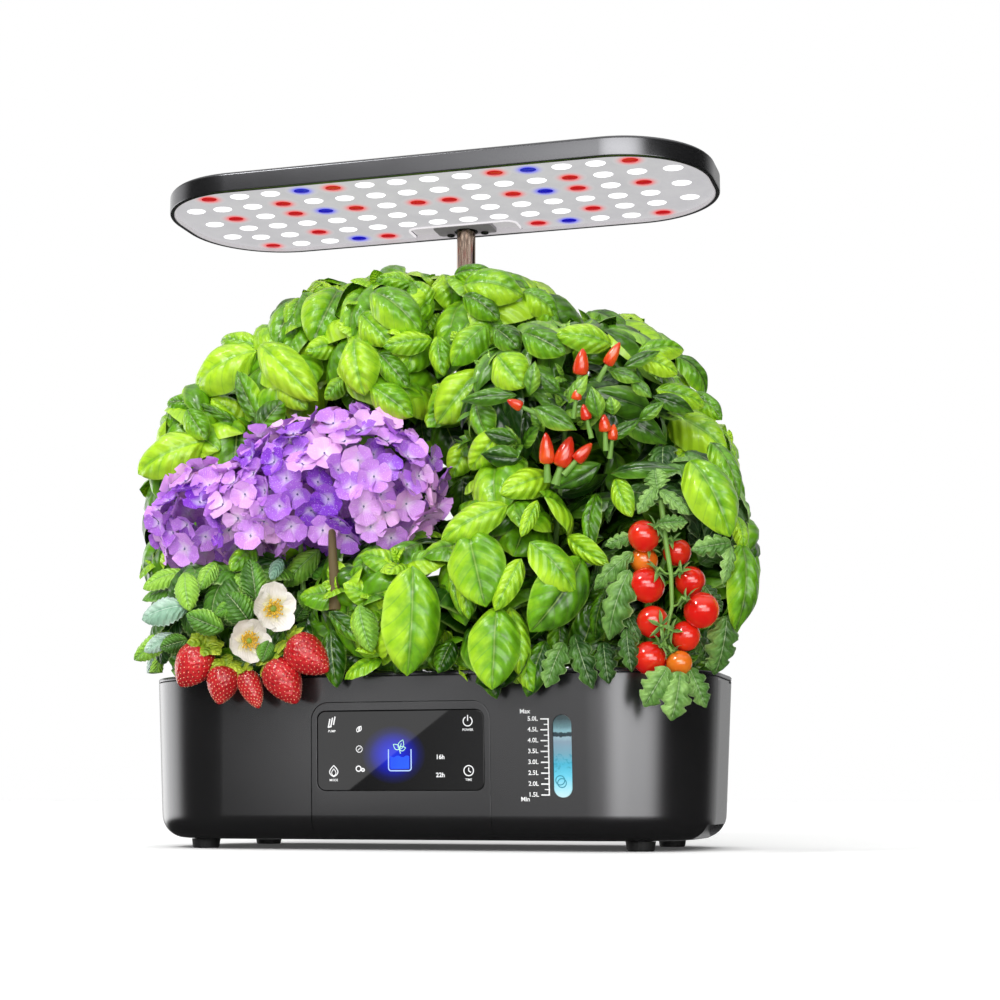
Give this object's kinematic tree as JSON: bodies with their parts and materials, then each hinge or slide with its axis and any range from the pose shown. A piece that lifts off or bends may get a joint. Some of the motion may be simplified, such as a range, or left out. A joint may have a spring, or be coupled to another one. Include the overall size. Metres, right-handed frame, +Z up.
{
  "type": "countertop hydroponic garden",
  "caption": "Planted countertop hydroponic garden: an oblong water tank with a touch panel and level window, a lift-off planting deck with net pods, and an LED grow lamp on a telescopic mast.",
  "frame": {"origin": "on the surface that the garden stands on, under the middle of its outline", "axes": "+Z up, -Y towards the control panel's front, +X to the right as the panel is faced"},
  "size_m": [0.472, 0.236, 0.471],
  "materials": {
    "charcoal_body": "satin moulded ABS",
    "dark_trim": "satin moulded ABS",
    "lamp_body": "satin moulded ABS",
    "touch_glass": "polished black touch panel",
    "circuit_board": "lacquered board",
    "clear_window": "polished clear",
    "black_rubber": "matt",
    "pump_plastic": "matt moulded",
    "white_plastic": "satin",
    "led_board_white": "white solder mask with LED lenses",
    "bronze_tube": "bright bronze plating",
    "screw_steel": "zinc plated",
    "basket_plastic": "translucent white moulding",
    "growing_sponge": "open-cell peat sponge",
    "basil_leaf": "fresh leaf, slightly glossy",
    "strawberry_leaf": "fresh leaf",
    "hydrangea_petal": "soft petal",
    "chilli_leaf": "dark leaf",
    "tomato_leaf": "downy leaf"
  },
  "bodies": {
    "base": {"tank": "charcoal_body", "level_window": "clear_window", "control_housing": "charcoal_body", "control_glass": "touch_glass", "control_board": "circuit_board", "dc_socket": "dark_trim", "foot_front_left": "black_rubber", "foot_front_right": "black_rubber", "foot_back_left": "black_rubber", "foot_back_right": "black_rubber", "pump_housing": "pump_plastic", "riser_tube": "basket_plastic"},
    "pump_rotor": {"pump_impeller": "white_plastic"},
    "deck": {"planting_deck": "charcoal_body", "mast_lower": "bronze_tube", "mast_collar": "dark_trim", "basket_01": "basket_plastic", "basket_02": "basket_plastic", "basket_03": "basket_plastic", "basket_04": "basket_plastic", "basket_05": "basket_plastic", "basket_06": "basket_plastic", "basket_07": "basket_plastic", "basket_08": "basket_plastic", "basket_09": "basket_plastic", "basket_10": "basket_plastic", "basket_11": "basket_plastic", "basket_12": "basket_plastic", "sponge_01": "growing_sponge", "sponge_02": "growing_sponge", "sponge_03": "growing_sponge", "sponge_04": "growing_sponge", "sponge_05": "growing_sponge", "sponge_06": "growing_sponge", "sponge_07": "growing_sponge", "sponge_08": "growing_sponge", "sponge_09": "growing_sponge", "sponge_10": "growing_sponge", "sponge_11": "growing_sponge", "sponge_12": "growing_sponge", "strawberry_plant": "strawberry_leaf", "hydrangea_plant": "hydrangea_petal", "basil_plant_front_left": "basil_leaf", "basil_plant_front_right": "basil_leaf", "chilli_plant": "chilli_leaf", "tomato_plant": "tomato_leaf", "basil_plant_far_left": "basil_leaf", "basil_plant_left": "basil_leaf", "basil_plant_centre_left": "basil_leaf", "basil_plant_centre_right": "basil_leaf", "basil_plant_right": "basil_leaf", "basil_plant_far_right": "basil_leaf"},
    "fill_cover": {"fill_cover": "dark_trim"},
    "lamp": {"mast_upper": "bronze_tube", "lamp_bracket": "dark_trim", "bracket_screw_left": "screw_steel", "bracket_screw_right": "screw_steel", "lamp_shell": "lamp_body", "led_board": "led_board_white", "lamp_bezel": "white_plastic"}
  },
  "joints": [
    {"name": "pump_spin", "type": "hinge", "parent": "base", "child": "pump_rotor", "pos_m": [0.112, 0, 0.0168], "axis": [0, 0, 1], "continuous": true},
    {"name": "deck_lift", "type": "slide", "parent": "base", "child": "deck", "axis": [0, 0, 1], "range_m": [0, 0.08]},
    {"name": "fill_cover_swivel", "type": "hinge", "parent": "deck", "child": "fill_cover", "pos_m": [0.177, -0.018, 0.1155], "axis": [0, 0, 1], "range_deg": [-80, 0]},
    {"name": "lamp_height", "type": "slide", "parent": "deck", "child": "lamp", "axis": [0, 0, 1], "range_m": [-0.035, 0.025]}
  ]
}
